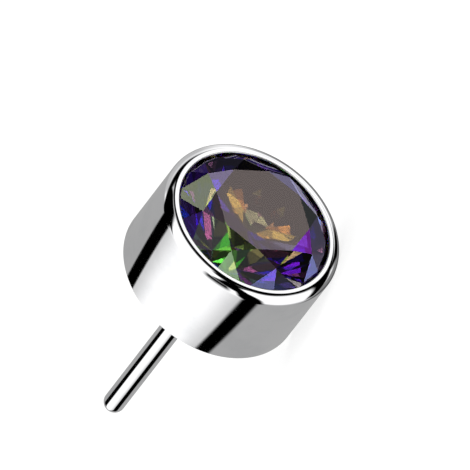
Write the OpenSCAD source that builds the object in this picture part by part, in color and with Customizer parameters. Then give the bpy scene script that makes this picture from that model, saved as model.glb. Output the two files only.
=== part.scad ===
// Threadless gem top: a round brilliant held in a plain bezel cup, with a
// smooth pin welded to the middle of the cup's back.
// It lies on its side as it comes to rest by itself: the stone's table faces -Y,
// the pin points along +Y, and the origin is the pin's root on the cup's back.

/* [Cup] */
// Outside diameter of the cup
cup_d = 5; // [4.9:0.05:6]
// Height of the cup, from its back to the top of the lip
cup_h = 2.63; // [2.62:0.01:2.9]
// Thickness of the closed back
back_t = 0.35; // [0.2:0.01:0.37]
// Radius of the rounding on the lip's outer edge
lip_round = 0.2; // [0.05:0.01:0.22]
// Diameter of the mouth inside the lip
mouth_d = 4.3; // [4.1:0.02:4.4]
// Diameter of the open well under the stone's seat
well_d = 3.9; // [3.2:0.05:4.2]

/* [Pin] */
// Diameter of the pin
pin_d = 0.58; // [0.45:0.01:0.8]
// Length of the pin from the cup's back to its tip
pin_l = 6.1; // [5:0.1:9]

/* [Stone] */
// Diameter of the stone at its girdle
stone_d = 4.5; // [4.4:0.01:4.52]
// Diameter of the table across its corners
table_d = 2.66; // [2.62:0.02:2.8]
// Height of the table above the lip
table_rise = 0.5; // [0.47:0.01:0.6]
// Angle of the crown's main facets
crown_angle = 36.5; // [34:0.5:37]
// Angle of the pavilion's main facets
pavilion_angle = 41; // [40:0.25:41.25]
// Thickness of the girdle where the main facets meet it
girdle_t = 0.1; // [0.06:0.01:0.12]
// Share of the crown's slope that the star facets take
star_share = 0.45; // [0.4:0.01:0.6]
// Share of the pavilion's slope that the lower half facets take
lower_share = 0.8; // [0.7:0.01:0.85]
// Turn of the stone in the cup
stone_turn = 7.8; // [0:0.1:45]
// Gap between the stone and the metal round it
seat_gap = 0.02; // [0.01:0.005:0.03]

/* [Hidden] */

$fn = 96;

// The round brilliant repeats every 45 degrees.
sector = 45;
half_sector = sector / 2;
facet_rows = 8;

// How deep the pin's root is sunk into the back it is welded to
weld_depth = back_t / 2;
// Length of a cutter's side that passes every face
clear_of_all = 4 * cup_d;

// Heights along the stone's axis, from the cup's back
girdle_r = stone_d / 2;
table_r = table_d / 2;
table_z = cup_h + table_rise;
girdle_top = table_z - (girdle_r - table_r) * tan(crown_angle);
girdle_foot = girdle_top - girdle_t;
culet_z = girdle_foot - girdle_r * tan(pavilion_angle);

// Where a star facet's tip meets the main facets, at half a sector
table_edge_r = table_r * cos(half_sector);
star_tip_r = table_edge_r + star_share * (girdle_r - table_edge_r);
star_tip_z = table_z - (star_tip_r * cos(half_sector) - table_r) * tan(crown_angle);
star_angle = atan2(table_z - star_tip_z, star_tip_r - table_edge_r);

// Where two lower half facets meet the pavilion's main facets, at half a sector
lower_tip_r = (1 - lower_share) * girdle_r;
lower_tip_z = culet_z + lower_tip_r * cos(half_sector) * tan(pavilion_angle);

// Slope of the crown's highest ridge near the girdle, which the lip has to clear
ridge_angle = atan2(star_tip_z - girdle_top, girdle_r - star_tip_r);

function polar(r, angle, z) = [r * cos(angle), r * sin(angle), z];

// Unit normal of the plane through three points, counter-clockwise from outside
function outward(a, b, c) = let (n = cross(b - a, c - a)) n / norm(n);

// Height of the seat and of the lip's underside at a radius
function seat_z(r) = culet_z + r * tan(pavilion_angle) - seat_gap / cos(pavilion_angle);
function under_lip_z(r) = girdle_top + (girdle_r - r) * tan(ridge_angle) + seat_gap / cos(ridge_angle);

// All that lies behind the plane through a point with the given outward normal
module behind(point, normal) {
  rotate([0, acos(normal.z), atan2(normal.y, normal.x)])
    translate([0, 0, point * normal - clear_of_all / 2])
      cube(clear_of_all, center = true);
}

// Turns something drawn with its face up, so that the face looks along -Y
module face_forward() {
  rotate([90, 0, 0]) children();
}

// The metal cup with its rounded lip, the groove for the girdle, the seat and the well
module cup() {
  groove_r = girdle_r + seat_gap;
  rotate_extrude()
    difference() {
      square([cup_d / 2, cup_h]);
      translate([cup_d / 2 - lip_round, cup_h - lip_round])
        difference() {
          square(cup_d);
          circle(lip_round);
        }
      polygon([
        [0, back_t],
        [well_d / 2, back_t],
        [well_d / 2, seat_z(well_d / 2)],
        [groove_r, seat_z(groove_r)],
        [groove_r, under_lip_z(groove_r)],
        [mouth_d / 2, under_lip_z(mouth_d / 2)],
        [mouth_d / 2, cup_h + 1],
        [0, cup_h + 1],
      ]);
    }
}

// The straight pin with its round tip, sunk a little into the cup's back
module pin() {
  pin_r = pin_d / 2;
  mirror([0, 0, 1])
    rotate_extrude()
      union() {
        translate([0, -weld_depth]) square([pin_r, pin_l - pin_r + weld_depth]);
        translate([0, pin_l - pin_r])
          intersection() {
            circle(pin_r);
            square(pin_d);
          }
      }
}

// Cup and pin are welded, so they are one piece of metal.
module setting() {
  color("silver")
    face_forward()
      union() {
        cup();
        pin();
      }
}

// One facet repeated round the stone at the given angle from the main facets
module facets(point, normal, turn = 0) {
  intersection_for (i = [0:facet_rows - 1])
    rotate(turn + i * sector)
      behind(point, normal);
}

// A facet and its mirror image, both repeated round the stone
module facet_pairs(point, normal) {
  intersection() {
    facets(point, normal);
    mirror([0, 1, 0]) facets(point, normal);
  }
}

// The round brilliant: table, stars, crown mains, upper halves, girdle,
// lower halves and pavilion mains
module stone() {
  crown_foot = polar(girdle_r, 0, girdle_top);
  crown_foot_between = polar(girdle_r, half_sector, girdle_top);
  star_tip = polar(star_tip_r, half_sector, star_tip_z);
  pavilion_head = polar(girdle_r, 0, girdle_foot);
  pavilion_head_between = polar(girdle_r, half_sector, girdle_foot);
  lower_tip = polar(lower_tip_r, half_sector, lower_tip_z);
  color([0.3, 0.2, 0.42])
    face_forward()
      rotate(stone_turn)
        intersection() {
          translate([0, 0, culet_z])
            cylinder(r = girdle_r, h = table_z - culet_z);
          facets([table_r, 0, table_z], [sin(crown_angle), 0, cos(crown_angle)]);
          facets([table_edge_r, 0, table_z], [sin(star_angle), 0, cos(star_angle)], half_sector);
          facet_pairs(crown_foot, outward(crown_foot, crown_foot_between, star_tip));
          facets([0, 0, culet_z], [sin(pavilion_angle), 0, -cos(pavilion_angle)]);
          facet_pairs(pavilion_head, outward(pavilion_head, lower_tip, pavilion_head_between));
        }
}

setting();
stone();
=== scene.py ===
"""Looks of the threadless gem top: a round brilliant in a plain polished cup with a pin on its back."""

import math

import bpy
from bpy.props import FloatProperty, FloatVectorProperty, IntProperty, PointerProperty
from bpy.types import Operator, Panel, PropertyGroup
from mathutils import Matrix, Vector


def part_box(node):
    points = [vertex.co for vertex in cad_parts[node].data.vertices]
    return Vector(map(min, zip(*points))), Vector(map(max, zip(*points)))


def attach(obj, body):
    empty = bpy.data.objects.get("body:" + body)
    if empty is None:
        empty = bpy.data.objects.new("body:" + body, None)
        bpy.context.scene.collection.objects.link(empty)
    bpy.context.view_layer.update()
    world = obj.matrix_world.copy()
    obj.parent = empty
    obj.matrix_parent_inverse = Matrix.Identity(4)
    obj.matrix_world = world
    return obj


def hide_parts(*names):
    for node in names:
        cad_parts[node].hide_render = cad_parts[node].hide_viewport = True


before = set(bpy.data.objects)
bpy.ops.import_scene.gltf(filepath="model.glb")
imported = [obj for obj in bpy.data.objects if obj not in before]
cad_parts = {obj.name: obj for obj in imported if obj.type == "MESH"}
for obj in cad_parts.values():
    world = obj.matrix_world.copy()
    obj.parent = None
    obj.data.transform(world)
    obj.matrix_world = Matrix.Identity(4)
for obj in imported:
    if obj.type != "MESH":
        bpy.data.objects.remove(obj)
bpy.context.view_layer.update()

bl_info = {
    "name": "Threadless gem top",
    "version": (1, 0, 0),
    "blender": (4, 5, 0),
    "location": "View3D > Sidebar > Gem top",
    "description": "Builds the polished cup with its pin, the coated stone and a small studio",
    "category": "Object",
}

# Sizes that the frame gives, in metres
METAL_LOW, METAL_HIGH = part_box("setting")
STONE_LOW, STONE_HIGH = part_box("stone")
# The gem's axis points from the cup's back out of the table
GEM_AXIS = Vector((0, -1, 0))
# The facet pattern repeats eight times round the stone
ROWS = 8
SECTOR = math.radians(360 / ROWS)
# Where the metal's finish and its painted shade change, each a start and an end in metres: the radius of the
# lip's inner edge, the radius out to which shade is painted behind it, the height over the back at which both
# begin, and the depth under the lip's top at which the painted shade ends
INNER_EDGE = (0.00215, 0.00216)
PAINTED_SHADE_EDGE = (0.0022, 0.0023)
FRONT_START = (0.0002, 0.0003)
PAINTED_SHADE_TOP = (0.00006, 0.00001)
# Places of the two colours and of the mixed colour among a Mix node's sockets
MIX_FIRST, MIX_SECOND, MIX_RESULT = 6, 7, 2
# What the coat reflects, from where light grazes it (0) to where it is met head-on (1)
COAT_TONES = (
    (0.0, (0.8, 0.45, 0.97)),
    (0.08, (0.7, 0.65, 0.97)),
    (0.15, (0.5, 0.92, 0.97)),
    (0.23, (0.15, 0.72, 0.7)),
    (0.31, (0.28, 0.15, 0.55)),
    (0.38, (0.2, 0.06, 0.35)),
    (0.46, (0.3, 0.06, 0.18)),
    (0.54, (0.06, 0.0, 0.3)),
    (0.62, (0.04, 0.01, 0.22)),
    (0.69, (0.24, 0.26, 0.12)),
    (0.77, (0.15, 0.55, 0.03)),
    (0.85, (0.26, 0.24, 0.01)),
    (0.92, (0.08, 0.06, 0.02)),
    (1.0, (0.0, 0.04, 0.0)),
)
# Lamps that shine into the stone: reach and turn of the middle, radius in degrees, and light
STONE_LAMPS = (
    (20, 15, 13, 8),
    (9, -15, 8, 3),
    (54, -37, 8, 9),
    (45, -24, 7, 4),
    (46, 22, 8, 7),
    (45, 51, 5, 1.5),
    (14, -60, 8, 2),
    (36, -83, 8, 2),
    (27, -100, 6, 5),
    (45, -103, 6, 2),
    (70, -37, 7, 2),
)
# Cards beside the pin: turn of the middle and half width in degrees, distance from the axis in metres,
# and light
PIN_CARDS = {
    "left_card": (-62, 24.5, 0.002, 0.0),
    "right_card": (62, 24.5, 0.002, 0.0),
    "grey_card": (-95, 20, 0.00225, 0.41),
}
# Where the soft lamp stands, in metres
LAMP_PLACE = (-0.02, -0.03, 0.09)
# How far from its middle a crown facet's card starts to fade, and how far it reaches, in degrees
SHEEN_FADE, SHEEN_REACH = 2, 3
VIOLET, MAUVE, OLIVE = (1.15, 1.15, 1.9), (1.35, 1.35, 1.35), (1.3, 1.75, 1.2)
GREEN, BLUE, PEARL = (1.1, 2.0, 1.2), (0.8, 0.5, 3.2), (1.2, 1.5, 1.6)
MAGENTA, SKY = (1.1, 0.2, 2.5), (1.0, 1.3, 2.9)
# Sheen of the crown's facets, in rows that follow the turn from the stone's first main facet
CROWN_SHEEN = {
    "main": (
        (0.01, BLUE),
        (0.05, VIOLET),
        (1.25, OLIVE),
        (0.35, PEARL),
        (0.2, PEARL),
        (0.02, MAUVE),
        (0.25, VIOLET),
        (0.7, VIOLET),
    ),
    "star": (
        (0.01, VIOLET),
        (1.45, VIOLET),
        (0.22, PEARL),
        (0.1, OLIVE),
        (0.04, PEARL),
        (1.0, MAGENTA),
        (0.15, PEARL),
        (0.75, VIOLET),
    ),
    "half before": (
        (0.01, BLUE),
        (0.1, BLUE),
        (0.05, BLUE),
        (0.25, BLUE),
        (2.0, GREEN),
        (0.15, OLIVE),
        (0.35, VIOLET),
        (0.25, VIOLET),
    ),
    "half after": (
        (0.01, BLUE),
        (0.15, BLUE),
        (0.03, MAUVE),
        (0.07, GREEN),
        (1.1, SKY),
        (1.25, SKY),
        (0.8, SKY),
        (0.15, VIOLET),
    ),
}


def length(name, description, default):
    """A size in metres for a property group."""
    return FloatProperty(
        name=name, description=description, default=default, min=0, precision=6, unit="LENGTH"
    )


def angle(name, description, degrees):
    """An angle for a property group, given in degrees."""
    return FloatProperty(name=name, description=description, default=math.radians(degrees), subtype="ANGLE")


def share(name, description, default, highest=1):
    """A plain factor for a property group."""
    return FloatProperty(name=name, description=description, default=default, min=0, max=highest)


def colour(name, description, default):
    """A linear colour for a property group."""
    return FloatVectorProperty(
        name=name, description=description, default=default, size=3, min=0, subtype="COLOR"
    )


class GemTopSettingSizes(PropertyGroup):
    """Sizes of the cup and its pin."""

    cup_radius: length("Cup radius", "Outside radius of the cup", round(METAL_HIGH.x, 5))
    cup_height: length("Cup height", "From the cup's back to the top of its lip", -METAL_LOW.y)
    back: length("Back", "Thickness of the closed back", 0.00035)
    lip_width: length("Lip rounding's width", "How far in the lip's outer edge is rounded", 0.00029)
    lip_fall: length("Lip rounding's height", "How far down the lip's outer edge is rounded", 0.00023)
    mouth_radius: length("Mouth radius", "Inside radius of the lip", 0.00213)
    mouth_round: length("Mouth rounding", "Rounding of the lip's inner edge", 0.00003)
    groove_radius: length("Groove radius", "Radius of the groove that holds the girdle", 0.00227)
    under_lip: length("Under the lip", "Height of the groove's upper end", 0.002458)
    lip_foot: length("Lip's foot", "Height of the lip's lower edge at the mouth", 0.002585)
    groove_foot: length("Groove's foot", "Height of the groove's lower end", 0.00234)
    well_radius: length("Well radius", "Radius of the well under the stone's seat", 0.00195)
    seat_foot: length("Seat's foot", "Height at which the seat meets the well", 0.002062)
    back_round: length("Back rounding", "Rounding of the cup's back edge", 0.000015)
    pin_radius: length("Pin radius", "Radius of the pin", 0.00029)
    pin_length: length("Pin length", "From the cup's back to the pin's tip", METAL_HIGH.y)
    sides: IntProperty(name="Sides", description="Sides of each round", default=192, min=24)


class GemTopStoneSizes(PropertyGroup):
    """Sizes and angles of the round brilliant."""

    girdle_radius: length("Girdle radius", "Radius of the stone at its girdle", round(STONE_HIGH.x, 5))
    table_radius: length("Table radius", "Radius of the table's corners", 0.00133)
    table_height: length("Table height", "From the cup's back to the table", -STONE_LOW.y)
    crown_angle: angle("Crown angle", "Slope of the crown's main facets", 36.5)
    pavilion_angle: angle("Pavilion angle", "Slope of the pavilion's main facets", 41)
    girdle: length("Girdle", "Thickness of the girdle where the main facets meet it", 0.0001)
    star_share: share("Star share", "Share of the crown's slope that the stars take", 0.45)
    lower_share: share("Lower share", "Share of the pavilion's slope that the lower halves take", 0.8)
    turn: angle("Turn", "Turn of the stone in the cup", 7.8)
    sides: IntProperty(name="Sides", description="Sides of the round girdle", default=192, min=24)


class GemTopMetalFinish(PropertyGroup):
    """The mirror polish of the metal, and the shade painted on it under the lip."""

    tone: colour("Metal", "Colour of the polished metal", (0.93, 0.93, 0.94))
    worn_tone: colour("Worn metal", "Colour where handling has dulled the polish", (0.86, 0.865, 0.88))
    # Painted shade: a darker colour under the lip and further in, where shade falls on the metal; the polish
    # itself is the same there
    painted_shade_tone: colour("Recess", "Colour under the lip, where the polish doesn't reach", (0.3, 0.28, 0.45))
    smooth: share("Roughness", "Roughness of the best polish", 0.03)
    dull: share("Dull roughness", "Roughness of the dullest places", 0.07)
    inner: share("Inner roughness", "How much rougher the lip's inner edge is", 0.25)
    line_spacing: length("Line spacing", "Distance between the finest polishing lines", 0.00004)
    line_depth: share("Line depth", "Strength of the polishing lines", 0.02)


class GemTopStoneFinish(PropertyGroup):
    """The clear stone and the coat behind it."""

    body: colour("Body", "Colour of the clear stone", (1, 1, 1))
    clouded_body: colour("Clouded body", "Colour of the stone where it is least clear", (0.9, 0.88, 0.92))
    sheen: colour("Sheen", "Tint of what the polished facets mirror", (0.72, 0.59, 0.57))
    index: share("Index", "Refractive index of the stone", 2.2, 3)
    coat_change: share("Coat change", "How much the coat's thickness varies from place to place", 0.02)
    coat_roughness: share("Coat roughness", "Roughness of the coat", 0.01)


class GemTopStudio(PropertyGroup):
    """Camera, floor and light."""

    view_tilt: angle("View tilt", "Angle between the gem's axis and the line of sight", 44.7)
    view_turn: angle("View turn", "How far the near side of the rim lies from straight down", 104.3)
    roll: angle("Roll", "Slope of the gem's axis in the picture", 52.26)
    frame_width: length("Frame width", "Width that the picture shows", 0.01212)
    shift_right: length("Shift right", "How far the picture's centre lies right of the pin's root", 0.000627)
    shift_up: length("Shift up", "How far the picture's centre lies above the pin's root", 0.001101)
    lens: FloatProperty(name="Lens", description="Focal length in millimetres", default=1400)
    floor_size: length("Floor", "Side of the floor", 0.9)
    floor_tone: colour("Floor colour", "Colour of the floor", (0.97, 0.97, 0.97))
    floor_light: share(
        "Floor light", "Share of the floor's light that comes through it, as on a light table", 0.7
    )
    floor_glow: share("Floor glow", "Strength of the light that comes through the floor", 1.15, 10)
    card_start: length("Card start", "Distance of the small cards from the cup's back", 0.00005)
    card_length: length("Card length", "Length of the small cards", 0.012)
    backdrop: colour("Backdrop", "Light that the camera sees past the floor", (1, 1, 1))
    fill: share("Fill", "Even light on the floor", 1.0, 10)
    glow: share("Glow", "Even light that reaches into the stone from the front", 0.45, 10)
    tent_light: share("Tent light", "Light of the white tent in front", 1.15, 10)
    tent_fade: share("Tent fade", "How much darker the tent gets at its sides, behind the rim", 0.5)
    wall_light: share("Wall light", "Light of the grey walls beside the tent", 0.4, 10)
    left_wall: share("Left wall", "How solid the wall on the far left is", 0.8)
    echo: colour("Echo", "Light that has been mirrored twice, from the right", (0.7, 0.68, 0.95))
    dark_echo: colour("Dark echo", "Light that has been mirrored twice, from the left", (0.03, 0.02, 0.15))
    lamp: share("Lamp", "Power of the soft lamp in watts", 0.015, 100)
    lamp_size: length("Lamp size", "Width of the soft lamp", 0.08)


class Wire:
    """A shader socket that takes part in sums, so that shader maths reads as Python."""

    def __init__(self, tree, socket):
        self.tree = tree
        self.socket = socket

    def maths(self, operation, *values):
        return self.tree.make("ShaderNodeMath", {"operation": operation}, dict(enumerate(values)))

    def __add__(self, other):
        return self.maths("ADD", self, other)

    def __radd__(self, other):
        return self.maths("ADD", other, self)

    def __sub__(self, other):
        return self.maths("SUBTRACT", self, other)

    def __rsub__(self, other):
        return self.maths("SUBTRACT", other, self)

    def __mul__(self, other):
        return self.maths("MULTIPLY", self, other)

    def __rmul__(self, other):
        return self.maths("MULTIPLY", other, self)

    def __truediv__(self, other):
        return self.maths("DIVIDE", self, other)

    def __rtruediv__(self, other):
        return self.maths("DIVIDE", other, self)

    def __pow__(self, other):
        return self.maths("POWER", self, other)

    def __abs__(self):
        return self.maths("ABSOLUTE", self)


class Tree:
    """The nodes of one material or world."""

    def __init__(self, owner):
        owner.use_nodes = True
        self.nodes = owner.node_tree.nodes
        self.links = owner.node_tree.links
        self.nodes.clear()

    def make(self, kind, settings=None, values=None, out=0):
        """Adds a node: its settings first, then numbers, colours or links for its sockets.

        Gives one of its outputs, or the node itself where it has none.
        """
        node = self.nodes.new(kind)
        for name, value in (settings or {}).items():
            if name == "stops":
                self.set_stops(node.color_ramp.elements, value)
            else:
                setattr(node, name, value)
        for name, value in (values or {}).items():
            if isinstance(value, Wire):
                self.links.new(value.socket, node.inputs[name])
            else:
                node.inputs[name].default_value = value
        return Wire(self, node.outputs[out]) if len(node.outputs) else node

    def ramp(self, value, low, high):
        """0 below low and 1 above high, with a soft rise between them."""
        values = {"Value": value, "From Min": low, "From Max": high}
        return self.make("ShaderNodeMapRange", {"interpolation_type": "SMOOTHSTEP"}, values)

    def blend(self, factor, first, second):
        """The first colour where factor is 0, and the second where it is 1."""
        values = {0: factor}
        for socket, tone in ((MIX_FIRST, first), (MIX_SECOND, second)):
            values[socket] = tone if isinstance(tone, Wire) else (*tone, 1)
        return self.make("ShaderNodeMix", {"data_type": "RGBA"}, values, out=MIX_RESULT)

    def set_stops(self, elements, stops):
        """Gives a colour ramp its stops, each a place from 0 to 1 and a colour, in order."""
        for place, tone in stops[1:-1]:
            elements.new(place).color = (*tone, 1)
        for end, (place, tone) in ((0, stops[0]), (len(stops) - 1, stops[-1])):
            elements[end].position = place
            elements[end].color = (*tone, 1)

    def dot(self, vector, direction):
        """How far a vector reaches along a direction."""
        values = {0: vector, 1: direction}
        return self.make("ShaderNodeVectorMath", {"operation": "DOT_PRODUCT"}, values, out="Value")

    def degrees(self, cosine):
        """The angle that has this cosine."""
        return cosine.maths("ARCCOSINE", cosine) * (180 / math.pi)

    def finish(self, shader, kind="ShaderNodeOutputMaterial"):
        self.make(kind, None, {"Surface": shader})


def clear_selection():
    """Nothing stays selected, so that the next operator acts on the new piece alone."""
    bpy.ops.object.select_all(action="DESELECT")


def settle(piece, name):
    """Names a piece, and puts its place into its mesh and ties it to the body."""
    piece.name = piece.data.name = name
    bpy.ops.object.transform_apply(location=True, rotation=True, scale=True)
    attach(piece, "root")


def metal_material(finish):
    """Mirror-polished metal with faint polishing lines round the axis, slightly dulled places, and painted
    shade under the lip.
    """
    material = bpy.data.materials.new("polished_metal")
    tree = Tree(material)
    place = tree.make("ShaderNodeTexCoord", out="Object")
    dulled = tree.make(
        "ShaderNodeTexNoise", None, {"Vector": place, "Scale": 900, "Detail": 4, "Roughness": 0.6}
    )
    dulled = tree.ramp(dulled, 0.42, 0.72)
    along = tree.dot(place, GEM_AXIS)
    across = tree.make("ShaderNodeVectorMath", {"operation": "MULTIPLY"}, {0: place, 1: (1, 0, 1)})
    reach = tree.make("ShaderNodeVectorMath", {"operation": "LENGTH"}, {0: across}, out="Value")
    lines = tree.make(
        "ShaderNodeTexNoise",
        {"noise_dimensions": "1D"},
        {"W": (along + reach) / finish.line_spacing, "Scale": 1, "Detail": 3},
    )
    bump = tree.make(
        "ShaderNodeBump", None, {"Strength": finish.line_depth, "Distance": 0.00001, "Height": lines}
    )
    front = tree.ramp(along, *FRONT_START)
    # The polish doesn't reach the lip's inner edge, nor the seat and the well behind it
    inside = (1 - tree.ramp(reach, *INNER_EDGE)) * front
    roughness = dulled * (finish.dull - finish.smooth) + lines * 0.01 + inside * finish.inner + finish.smooth
    # Painted shade: the metal's colour is darker under the lip and further in, where shade falls
    lip = -METAL_LOW.y
    painted_shade = (1 - tree.ramp(reach, *PAINTED_SHADE_EDGE)) * front
    painted_shade = painted_shade * (1 - tree.ramp(along, *(lip - depth for depth in PAINTED_SHADE_TOP)))
    tone = tree.blend(dulled, finish.tone, finish.worn_tone)
    tree.finish(
        tree.make(
            "ShaderNodeBsdfPrincipled",
            None,
            {
                "Base Color": tree.blend(painted_shade, tone, finish.painted_shade_tone),
                "Metallic": 1,
                "Roughness": roughness,
                "Normal": bump,
            },
        )
    )
    return material


def crown_material(finish):
    """Clear polished stone that the light enters and leaves by."""
    material = bpy.data.materials.new("clear_crown")
    tree = Tree(material)
    place = tree.make("ShaderNodeTexCoord", out="Object")
    clouds = tree.make("ShaderNodeTexNoise", None, {"Vector": place, "Scale": 700, "Detail": 3})
    tree.finish(
        tree.make(
            "ShaderNodeBsdfPrincipled",
            None,
            {
                "Base Color": tree.blend(clouds, finish.body, finish.clouded_body),
                "Specular Tint": (*finish.sheen, 1),
                "Transmission Weight": 1,
                "IOR": finish.index,
                "Roughness": 0,
            },
        )
    )
    return material


def without_edge_white(cosine, tone):
    """The base colour that makes a metal, which whitens where light grazes it, reflect this colour."""
    white = (1 - cosine) ** 5
    return tuple(max(0, (part - white) / (1.001 - white)) for part in tone)


def coat_material(finish):
    """The rainbow coat on the pavilion: a dark mirror whose colour changes with the angle it is met at."""
    material = bpy.data.materials.new("rainbow_coat")
    tree = Tree(material)
    facing = tree.make("ShaderNodeLayerWeight", None, {"Blend": 0.5}, out="Facing")
    place = tree.make("ShaderNodeTexCoord", out="Object")
    uneven = tree.make("ShaderNodeTexNoise", None, {"Vector": place, "Scale": 500, "Detail": 1})
    steepness = 1 - facing + (uneven - 0.5) * finish.coat_change
    stops = [(cosine, without_edge_white(cosine, colours)) for cosine, colours in COAT_TONES]
    tone = tree.make("ShaderNodeValToRGB", {"stops": stops}, {"Fac": steepness})
    tree.finish(
        tree.make(
            "ShaderNodeBsdfPrincipled",
            None,
            {"Base Color": tone, "Metallic": 1, "Roughness": finish.coat_roughness},
        )
    )
    return material


def girdle_material():
    """The frosted girdle, which is left as it was ground."""
    material = bpy.data.materials.new("frosted_girdle")
    tree = Tree(material)
    place = tree.make("ShaderNodeTexCoord", out="Object")
    grain = tree.make("ShaderNodeTexNoise", None, {"Vector": place, "Scale": 20000, "Detail": 2})
    tone = tree.blend(grain, (0.02, 0.015, 0.03), (0.045, 0.04, 0.06))
    bump = tree.make("ShaderNodeBump", None, {"Strength": 0.3, "Distance": 0.000004, "Height": grain})
    tree.finish(
        tree.make("ShaderNodeBsdfPrincipled", None, {"Base Color": tone, "Roughness": 0.6, "Normal": bump})
    )
    return material


def ring_step(reach, advance, centre_height):
    """Extrudes the selected cap, scales it about the axis and moves it along the axis."""
    bpy.ops.mesh.extrude_region_move()
    if reach != 1:
        bpy.ops.transform.resize(value=(reach, 1, reach), center_override=(0, -centre_height, 0))
    if advance:
        bpy.ops.transform.translate(value=(0, -advance, 0))


def select_faces(piece, wanted):
    """Selects the faces for which wanted is true, in edit mode."""
    bpy.ops.mesh.select_all(action="DESELECT")
    bpy.ops.object.mode_set(mode="OBJECT")
    for face in piece.data.polygons:
        face.select = wanted(face)
    bpy.ops.object.mode_set(mode="EDIT")


def select_ring(piece, radius, height, tolerance=0.000004):
    """Selects the closed ring of edges at a radius and height, in edit mode."""
    bpy.ops.mesh.select_all(action="DESELECT")
    bpy.ops.object.mode_set(mode="OBJECT")
    mesh = piece.data
    points = [
        abs(math.hypot(p.co.x, p.co.z) - radius) < tolerance and abs(-p.co.y - height) < tolerance
        for p in mesh.vertices
    ]
    for edge in mesh.edges:
        edge.select = all(points[i] for i in edge.vertices)
    bpy.ops.object.mode_set(mode="EDIT")


class GEMTOP_OT_setting(Operator):
    """Model the cup and the pin that is welded to its back"""

    bl_idname = "gemtop.setting"
    bl_label = "Setting"

    def execute(self, context):
        s = context.scene.gemtop_setting
        wall = s.cup_height - s.lip_fall
        clear_selection()
        bpy.ops.mesh.primitive_cylinder_add(
            vertices=s.sides,
            radius=s.cup_radius,
            depth=wall,
            location=(0, -wall / 2, 0),
            rotation=(math.radians(90), 0, 0),
        )
        piece = context.object
        bpy.ops.object.transform_apply(location=True, rotation=True, scale=True)
        bpy.ops.object.mode_set(mode="EDIT")
        bpy.ops.mesh.select_mode(type="FACE")
        self.hollow(piece, s)
        self.pin(piece, s)
        self.round_back(piece, s)
        bpy.ops.mesh.select_all(action="SELECT")
        bpy.ops.mesh.normals_make_consistent(inside=False)
        bpy.ops.object.mode_set(mode="OBJECT")
        bpy.ops.object.shade_smooth_by_angle(angle=math.radians(25))
        piece.data.materials.append(metal_material(context.scene.gemtop_metal))
        settle(piece, "polished_setting")
        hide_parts("setting")
        return {"FINISHED"}

    def hollow(self, piece, s):
        """The rounded lip, the groove for the girdle, the seat and the well, from the front cap inwards."""
        select_faces(piece, lambda face: face.normal.y < -0.9)
        outline = []
        steps = 24
        for i in range(1, steps + 1):
            turn = math.radians(90) * i / steps
            next_radius = s.cup_radius - s.lip_width * (1 - math.cos(turn))
            outline.append((next_radius, s.cup_height - s.lip_fall * (1 - math.sin(turn))))
        steps = 6
        for i in range(steps + 1):
            turn = math.radians(90) * i / steps
            next_radius = s.mouth_radius + s.mouth_round * (1 - math.sin(turn))
            outline.append((next_radius, s.cup_height - s.mouth_round * (1 - math.cos(turn))))
        outline += [
            (s.mouth_radius, s.lip_foot),
            (s.groove_radius, s.under_lip),
            (s.groove_radius, s.groove_foot),
            (s.well_radius, s.seat_foot),
            (s.well_radius, s.back),
        ]
        radius, height = s.cup_radius, s.cup_height - s.lip_fall
        for next_radius, next_height in outline:
            ring_step(next_radius / radius, next_height - height, height)
            radius, height = next_radius, next_height

    def pin(self, piece, s):
        """The straight pin with its round tip, from the back cap outwards."""
        select_faces(piece, lambda face: face.normal.y > 0.9 and abs(face.center.y) < s.back / 2)
        ring_step(s.pin_radius / s.cup_radius, 0, 0)
        straight = s.pin_length - s.pin_radius
        ring_step(1, -straight, 0)
        radius, height = s.pin_radius, -straight
        steps = 14
        for i in range(1, steps):
            turn = math.radians(90) * i / steps
            next_radius = s.pin_radius * math.cos(turn)
            next_height = -straight - s.pin_radius * math.sin(turn)
            ring_step(next_radius / radius, next_height - height, height)
            radius, height = next_radius, next_height
        bpy.ops.mesh.extrude_region_move()
        bpy.ops.transform.translate(value=(0, s.pin_length + height, 0))
        bpy.ops.mesh.merge(type="CENTER")

    def round_back(self, piece, s):
        """The slight rounding that polishing leaves on the cup's back edge."""
        bpy.ops.mesh.select_mode(type="EDGE")
        select_ring(piece, s.cup_radius, 0)
        bpy.ops.mesh.bevel(offset=s.back_round, offset_type="OFFSET", segments=3, profile=0.5)


def stone_levels(s):
    """Heights and radii of the facets' corners, from the sizes and angles."""
    half = math.cos(SECTOR / 2)
    crown, pavilion = math.tan(s.crown_angle), math.tan(s.pavilion_angle)
    level = {"table_edge": s.table_radius * half, "lower_radius": (1 - s.lower_share) * s.girdle_radius}
    level["girdle_top"] = s.table_height - (s.girdle_radius - s.table_radius) * crown
    level["girdle_foot"] = level["girdle_top"] - s.girdle
    level["culet"] = level["girdle_foot"] - s.girdle_radius * pavilion
    level["star_radius"] = level["table_edge"] + s.star_share * (s.girdle_radius - level["table_edge"])
    level["star_height"] = s.table_height - (level["star_radius"] * half - s.table_radius) * crown
    level["lower_height"] = level["culet"] + level["lower_radius"] * half * pavilion
    return level


def stone_point(s, radius, turn, height):
    """A point of the stone: its distance from the axis, its turn from the first main facet and its height."""
    turn += s.turn
    return Vector((radius * math.cos(turn), -height, radius * math.sin(turn)))


def sideways(s, turn):
    """A step along the rim at a turn, to give a main facet its third point."""
    return Vector((-math.sin(turn + s.turn), 0, math.cos(turn + s.turn))) * s.table_radius


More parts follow.
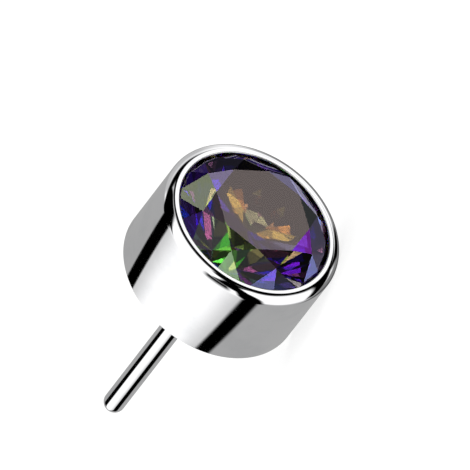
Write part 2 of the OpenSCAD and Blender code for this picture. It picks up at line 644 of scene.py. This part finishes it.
def crown_facets(s):
    """Kind, row and three points of each crown facet: the mains, the stars and the upper halves."""
    level = stone_levels(s)
    for row in range(ROWS):
        turn = row * SECTOR
        foot = stone_point(s, s.girdle_radius, turn, level["girdle_top"])
        top = stone_point(s, s.table_radius, turn, s.table_height)
        yield "main", row, (top, foot, foot + sideways(s, turn))
        tip = stone_point(s, level["star_radius"], turn + SECTOR / 2, level["star_height"])
        corner = stone_point(s, s.table_radius, turn + SECTOR, s.table_height)
        yield "star", row, (top, corner, tip)
        for kind, side in (("half before", -1), ("half after", 1)):
            between = turn + side * SECTOR / 2
            near_tip = stone_point(s, level["star_radius"], between, level["star_height"])
            near_foot = stone_point(s, s.girdle_radius, between, level["girdle_top"])
            yield kind, row, (foot, near_foot, near_tip)


def pavilion_facets(s):
    """Three points of each pavilion facet: the mains and the lower halves."""
    level = stone_levels(s)
    culet = stone_point(s, 0, 0, level["culet"])
    for row in range(ROWS):
        turn = row * SECTOR
        head = stone_point(s, s.girdle_radius, turn, level["girdle_foot"])
        yield culet, head, head + sideways(s, turn)
        for side in (-1, 1):
            between = turn + side * SECTOR / 2
            near_tip = stone_point(s, level["lower_radius"], between, level["lower_height"])
            near_head = stone_point(s, s.girdle_radius, between, level["girdle_foot"])
            yield head, near_head, near_tip


def outward(points, middle):
    """The unit normal of the plane through three points that points away from the stone's middle."""
    first, second, third = points
    normal = (second - first).cross(third - first).normalized()
    return -normal if normal.dot(first - middle) < 0 else normal


class GEMTOP_OT_stone(Operator):
    """Cut the round brilliant, one facet at a time"""

    bl_idname = "gemtop.stone"
    bl_label = "Stone"

    def execute(self, context):
        s = context.scene.gemtop_stone
        finish = context.scene.gemtop_stone_finish
        level = stone_levels(s)
        clear_selection()
        bpy.ops.mesh.primitive_cylinder_add(
            vertices=s.sides,
            radius=s.girdle_radius,
            depth=s.table_height - level["culet"],
            location=(0, -(s.table_height + level["culet"]) / 2, 0),
            rotation=(math.radians(90), 0, 0),
        )
        piece = context.object
        bpy.ops.object.transform_apply(location=True, rotation=True, scale=True)
        bpy.ops.object.mode_set(mode="EDIT")
        middle = Vector((0, -level["girdle_top"], 0))
        for _, _, points in crown_facets(s):
            self.cut(points, middle)
        for points in pavilion_facets(s):
            self.cut(points, middle)
        bpy.ops.object.mode_set(mode="OBJECT")
        bpy.ops.object.shade_flat()
        for material in (crown_material(finish), coat_material(finish), girdle_material()):
            piece.data.materials.append(material)
        # The crown faces the front, the pavilion the back, and the girdle neither
        for face in piece.data.polygons:
            face.material_index = 0 if face.normal.y < -0.1 else 1 if face.normal.y > 0.1 else 2
        settle(piece, "cut_stone")
        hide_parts("stone")
        return {"FINISHED"}

    def cut(self, points, middle):
        """Cuts the facet through three points and closes it."""
        normal = outward(points, middle)
        bpy.ops.mesh.select_all(action="SELECT")
        bpy.ops.mesh.bisect(
            plane_co=points[0], plane_no=normal, use_fill=True, clear_outer=True, threshold=1e-8
        )


def view_frame(studio):
    """The directions towards the rim's near side, to the rim's right side and towards the camera."""
    near = Matrix.Rotation(-studio.view_turn, 3, GEM_AXIS) @ Vector((0, 0, -1))
    right = GEM_AXIS.cross(near)
    towards = GEM_AXIS * math.cos(studio.view_tilt) + near * math.sin(studio.view_tilt)
    return near, right, towards


class GEMTOP_OT_stage(Operator):
    """Set up the camera, the pale floor, the lamp and the studio that the metal mirrors"""

    bl_idname = "gemtop.stage"
    bl_label = "Stage"

    def execute(self, context):
        studio = context.scene.gemtop_studio
        self.camera(context, studio)
        self.floor(context, studio)
        self.pin_cards(context, studio)
        self.lamp(context, studio)
        self.world(context, studio)
        context.scene.view_settings.view_transform = "Standard"
        context.scene.cycles.glossy_bounces = 12
        return {"FINISHED"}

    def camera(self, context, studio):
        near, right, towards = view_frame(studio)
        up = (GEM_AXIS - towards * GEM_AXIS.dot(towards)).normalized()
        picture_x = up * math.cos(studio.roll) + right * math.sin(studio.roll)
        picture_y = up * math.sin(studio.roll) - right * math.cos(studio.roll)
        target = picture_x * studio.shift_right + picture_y * studio.shift_up
        clear_selection()
        bpy.ops.object.camera_add()
        camera = context.object
        camera.name = "camera"
        camera.data.lens = studio.lens
        distance = studio.frame_width * studio.lens / camera.data.sensor_width
        turned = Matrix((picture_x, picture_y, towards)).transposed().to_4x4()
        camera.matrix_world = Matrix.Translation(target + towards * distance) @ turned
        camera.data.clip_start = distance / 10
        camera.data.clip_end = distance * 10
        context.scene.camera = camera

    def floor(self, context, studio):
        clear_selection()
        bpy.ops.mesh.primitive_plane_add(size=studio.floor_size, location=(0, 0, METAL_LOW.z))
        floor = context.object
        floor.name = "floor"
        bpy.ops.object.transform_apply(location=True, rotation=True, scale=True)
        material = bpy.data.materials.new("pale_floor")
        tree = Tree(material)
        place = tree.make("ShaderNodeTexCoord", out="Object")
        grain = tree.make("ShaderNodeTexNoise", None, {"Vector": place, "Scale": 3000, "Detail": 2})
        darker = tuple(part * 0.99 for part in studio.floor_tone)
        tone = tree.blend(grain, studio.floor_tone, darker)
        matt = tree.make("ShaderNodeBsdfDiffuse", None, {"Color": tone})
        lit = tree.make("ShaderNodeEmission", None, {"Color": tone, "Strength": studio.floor_glow})
        tree.finish(tree.make("ShaderNodeMixShader", None, {0: studio.floor_light, 1: matt, 2: lit}))
        floor.data.materials.append(material)
        floor.visible_glossy = False
        floor.visible_transmission = False

    def pin_cards(self, context, studio):
        """Small cards beside the pin, which only polished metal sees and which the cup's wall misses.

        They stand behind the cup's back and nearer to the axis than the wall.
        """
        near, right, _ = view_frame(studio)
        for name, (turn, half, distance, light) in PIN_CARDS.items():
            material = self.soft_card(name, light)
            turn, half = math.radians(turn), math.radians(half)
            out = near * math.cos(turn) + right * math.sin(turn)
            width = 2 * distance * math.tan(half)
            place = out * distance - GEM_AXIS * (studio.card_start + studio.card_length / 2)
            clear_selection()
            bpy.ops.mesh.primitive_plane_add(size=1)
            card = context.object
            card.name = name
            spread = Matrix((GEM_AXIS.cross(out) * width, GEM_AXIS * studio.card_length, out)).transposed()
            card.matrix_world = Matrix.Translation(place) @ spread.to_4x4()
            bpy.ops.object.transform_apply(location=True, rotation=True, scale=True)
            card.data.materials.append(material)
            card.visible_camera = False
            card.visible_diffuse = False
            card.visible_transmission = False
            card.visible_shadow = False

    def soft_card(self, name, light):
        """An evenly lit card that fades out towards its edges and where it is met at a grazing angle."""
        material = bpy.data.materials.new(name)
        tree = Tree(material)
        place = tree.make("ShaderNodeTexCoord", out="UV")
        across = tree.make("ShaderNodeSeparateXYZ", None, {0: place}, out=0)
        along = tree.make("ShaderNodeSeparateXYZ", None, {0: place}, out=1)
        facing = tree.make("ShaderNodeLayerWeight", None, {"Blend": 0.5}, out="Facing")
        there = tree.ramp(0.5 - abs(across - 0.5), 0, 0.15) * (1 - tree.ramp(facing, 0.5, 0.75))
        there = there * tree.ramp(along, 0, 0.3) * (1 - tree.ramp(along, 0.9, 1))
        clear = tree.make("ShaderNodeBsdfTransparent")
        lit = tree.make("ShaderNodeEmission", None, {"Color": (light, light, light, 1)})
        tree.finish(tree.make("ShaderNodeMixShader", None, {0: there, 1: clear, 2: lit}))
        return material

    def lamp(self, context, studio):
        clear_selection()
        bpy.ops.object.light_add(type="AREA", location=LAMP_PLACE)
        lamp = context.object
        lamp.name = "soft_lamp"
        lamp.data.shape = "DISK"
        lamp.data.size = studio.lamp_size
        lamp.data.energy = studio.lamp
        lamp.visible_glossy = False
        lamp.visible_transmission = False

    def world(self, context, studio):
        """The studio is laid out on a flat chart of directions, in degrees from the gem's axis.

        Reach is the angle from the axis and turn the angle round it. Down counts along the chart towards the
        rim's near side and across towards its right side.
        """
        world = bpy.data.worlds.new("studio")
        context.scene.world = world
        tree = Tree(world)
        near, right, towards = view_frame(studio)
        look = tree.make("ShaderNodeTexCoord", out="Generated")
        forward = tree.dot(look, GEM_AXIS)
        reach = tree.degrees(forward)
        nearness = tree.dot(look, near)
        aside = tree.dot(look, right)
        turn = nearness.maths("ARCTAN2", aside, nearness) * (180 / math.pi)
        # A little over 1, so that nothing is divided by zero on the axis
        spread = reach / (1.000001 - forward * forward) ** 0.5
        mirror = GEM_AXIS * (2 * GEM_AXIS.dot(towards)) - towards
        away = tree.degrees(tree.dot(look, mirror))
        flags = self.flags(tree, reach, turn, nearness * spread, aside * spread, away)
        light = self.tent(studio, tree, reach, turn) * (1 - flags)
        mirrored = tree.make("ShaderNodeCombineColor", None, {0: light, 1: light, 2: light})
        on_crown = self.crown_cards(context.scene.gemtop_stone, tree, look, towards, mirrored)
        inside = self.lamps(studio, tree, look, near, right, forward)
        inside = tree.make("ShaderNodeCombineColor", None, {0: inside, 1: inside, 2: inside})
        twice = tree.make("ShaderNodeLightPath", out="Glossy Depth")
        # Only in front of the stone: the pin that the cup's back mirrors stays plain metal
        twice = twice.maths("GREATER_THAN", twice, 1.5) * (1 - tree.ramp(reach, 84, 96))
        echo = tree.blend(tree.ramp(turn, -12, 0), studio.dark_echo, studio.echo)
        seen = tree.blend(twice, mirrored, echo)
        for kind, shown in (
            ("Is Singular Ray", on_crown),
            ("Is Transmission Ray", inside),
            ("Is Diffuse Ray", (studio.fill,) * 3),
            ("Is Camera Ray", studio.backdrop),
        ):
            seen = tree.blend(tree.make("ShaderNodeLightPath", out=kind), seen, shown)
        shader = tree.make("ShaderNodeBackground", None, {"Color": seen})
        tree.finish(shader, "ShaderNodeOutputWorld")

    def disc(self, tree, look, middle, inner, outer):
        """A round patch of the studio: 1 within the inner angle and 0 outside the outer one."""
        return tree.ramp(tree.dot(look, middle), math.cos(math.radians(outer)), math.cos(math.radians(inner)))

    def lamps(self, studio, tree, look, near, right, forward):
        """The round lamps that shine into the stone, over a faint glow from the front."""
        total = tree.ramp(forward, -0.4, -0.2) * studio.glow
        for reach, turn, radius, light in STONE_LAMPS:
            reach, turn = math.radians(reach), math.radians(turn)
            round_axis = near * math.cos(turn) + right * math.sin(turn)
            middle = GEM_AXIS * math.cos(reach) + round_axis * math.sin(reach)
            lamp = self.disc(tree, look, middle, radius - 2, radius + 2)
            total = total.maths("MULTIPLY_ADD", lamp, light, total)
        return total

    def crown_cards(self, stone, tree, look, towards, around):
        """Small cards, one where each facet of the crown mirrors, that give every facet its own sheen."""
        middle = Vector((0, -stone_levels(stone)["girdle_top"], 0))
        for kind, row, points in crown_facets(stone):
            normal = outward(points, middle)
            mirror = normal * (2 * normal.dot(towards)) - towards
            card = self.disc(tree, look, mirror, SHEEN_FADE, SHEEN_REACH)
            light, tint = CROWN_SHEEN[kind][row]
            around = tree.blend(card, around, tuple(light * part for part in tint))
        return around

    def tent(self, studio, tree, reach, turn):
        """The white tent in front, and grey walls on both sides behind it."""
        # The tent's middle is 18 degrees to the left of the near side
        sweep = abs(turn + 18)
        behind = tree.ramp(reach, 92, 118)
        lit = studio.tent_light - tree.ramp(sweep, 26, 66) * behind * studio.tent_fade
        wall = tree.ramp(sweep, 68, 82) * behind
        left_wall = tree.ramp(turn, -172, -150) * (1 - tree.ramp(turn, -110, -100)) * tree.ramp(reach, 48, 80)
        wall = wall.maths("MAXIMUM", wall, left_wall * studio.left_wall)
        return lit * (1 - wall) + wall * studio.wall_light

    def flags(self, tree, reach, turn, down, across, away):
        """The black cards that draw the dark bands on the metal: 1 where a card hangs.

        Away is the angle from the direction that the table mirrors for the camera.
        """

        def card(distance, half, soft=3):
            return 1 - tree.ramp(abs(distance), half - soft, half + soft)

        # Out counts along the chart towards the rim's left side
        out = 0 - across
        # From the far side out to the left, nearer and wider on the way
        left = down + 45 - tree.ramp(out, 20, 100) * 57 + tree.ramp(out, 105, 135) * 16
        left = card(left, tree.ramp(out, 35, 95) * 17 + 9, 4) * tree.ramp(out, 3, 9)
        # A wedge that widens the left card towards the near side
        shoulder = tree.ramp(out * 1.13 - 47 - down, -4, 4)
        shoulder = shoulder * tree.ramp(down + 33 - tree.ramp(out, 36, 100) * 22, -3, 3)
        shoulder = shoulder * tree.ramp(out, 20, 26) * (1 - tree.ramp(out, 85, 95))
        # A spoke between the near and the right side, which turns and narrows behind the rim
        bend = tree.ramp(reach, 85, 135)
        right = card(turn - 46 - bend * 9, 14 - bend * 3.5) * tree.ramp(reach, 6, 12)
        # A card at the near side that fades out on its way behind the rim
        middle = tree.ramp(turn, -13, -3) * (1 - tree.ramp(turn, 19, 27))
        middle = middle * tree.ramp(reach, 38, 52) * (1 - tree.ramp(reach, 60, 112))
        # A strip to the right of the axis, wider towards the near side
        core = tree.ramp(across - 5.5 + tree.ramp(down, 15, 60) * 9.5, -2, 2)
        core = core * (1 - tree.ramp(across - 14.5 - tree.ramp(down, -2, 26) * 18, -2, 2))
        core = core * tree.ramp(down, -16, -12) * (1 - tree.ramp(down, 40, 52))
        # A narrow strip from the axis to the far side
        slot = card(across - 4, 5, 2) * card(down + 22, 25)
        # A strip across the far side, out to the right
        drop = card(down + 45 - tree.ramp(across, 30, 90) * 9, 9)
        drop = drop * tree.ramp(across, 2, 8) * (1 - tree.ramp(across, 84, 104))
        # A patch at the far side, a little to the right
        corner = card(away - 34, 16) * card(turn - 158, 9, 4)
        # A round card about the direction that the table mirrors, wider near the axis
        ring = 1 - tree.ramp(away - (1 - tree.ramp(reach, 22, 38)) * 9, 20, 32)
        ring = ring * (1 - tree.ramp(reach, 50, 58))
        # A dark grey card beside and behind the rim, at the far side and to the right of it
        far = card(reach - 100, 28, 6) * (tree.ramp(turn, 105, 125) + 1 - tree.ramp(turn, -178, -160)) * 0.8
        total = left
        for other in (shoulder, right, middle, core, slot, drop, corner, ring, far):
            total = total.maths("MAXIMUM", total, other)
        # No card hangs in the middle of what the table mirrors
        return total * tree.ramp(away - tree.ramp(out, 1, 6) * 4, 6, 10)


class GEMTOP_PT_panel(Panel):
    """The steps that build the gem top"""

    bl_idname = "GEMTOP_PT_panel"
    bl_label = "Gem top"
    bl_space_type = "VIEW_3D"
    bl_region_type = "UI"
    bl_category = "Gem top"

    def draw(self, context):
        for step in (GEMTOP_OT_stage, GEMTOP_OT_setting, GEMTOP_OT_stone):
            self.layout.operator(step.bl_idname)
        for name in GROUPS:
            box = self.layout.box()
            group = getattr(context.scene, name)
            for key in group.bl_rna.properties.keys():
                if key not in ("rna_type", "name"):
                    box.prop(group, key)


GROUPS = {
    "gemtop_setting": GemTopSettingSizes,
    "gemtop_stone": GemTopStoneSizes,
    "gemtop_metal": GemTopMetalFinish,
    "gemtop_stone_finish": GemTopStoneFinish,
    "gemtop_studio": GemTopStudio,
}
CLASSES = (*GROUPS.values(), GEMTOP_OT_stage, GEMTOP_OT_setting, GEMTOP_OT_stone, GEMTOP_PT_panel)


def register():
    for cls in CLASSES:
        bpy.utils.register_class(cls)
    for name, group in GROUPS.items():
        setattr(bpy.types.Scene, name, PointerProperty(type=group))


def unregister():
    for name in GROUPS:
        delattr(bpy.types.Scene, name)
    for cls in reversed(CLASSES):
        bpy.utils.unregister_class(cls)


def main():
    """Builds the stage and both pieces."""
    register()
    bpy.ops.gemtop.stage()
    bpy.ops.gemtop.setting()
    bpy.ops.gemtop.stone()


if __name__ == "__main__":
    main()
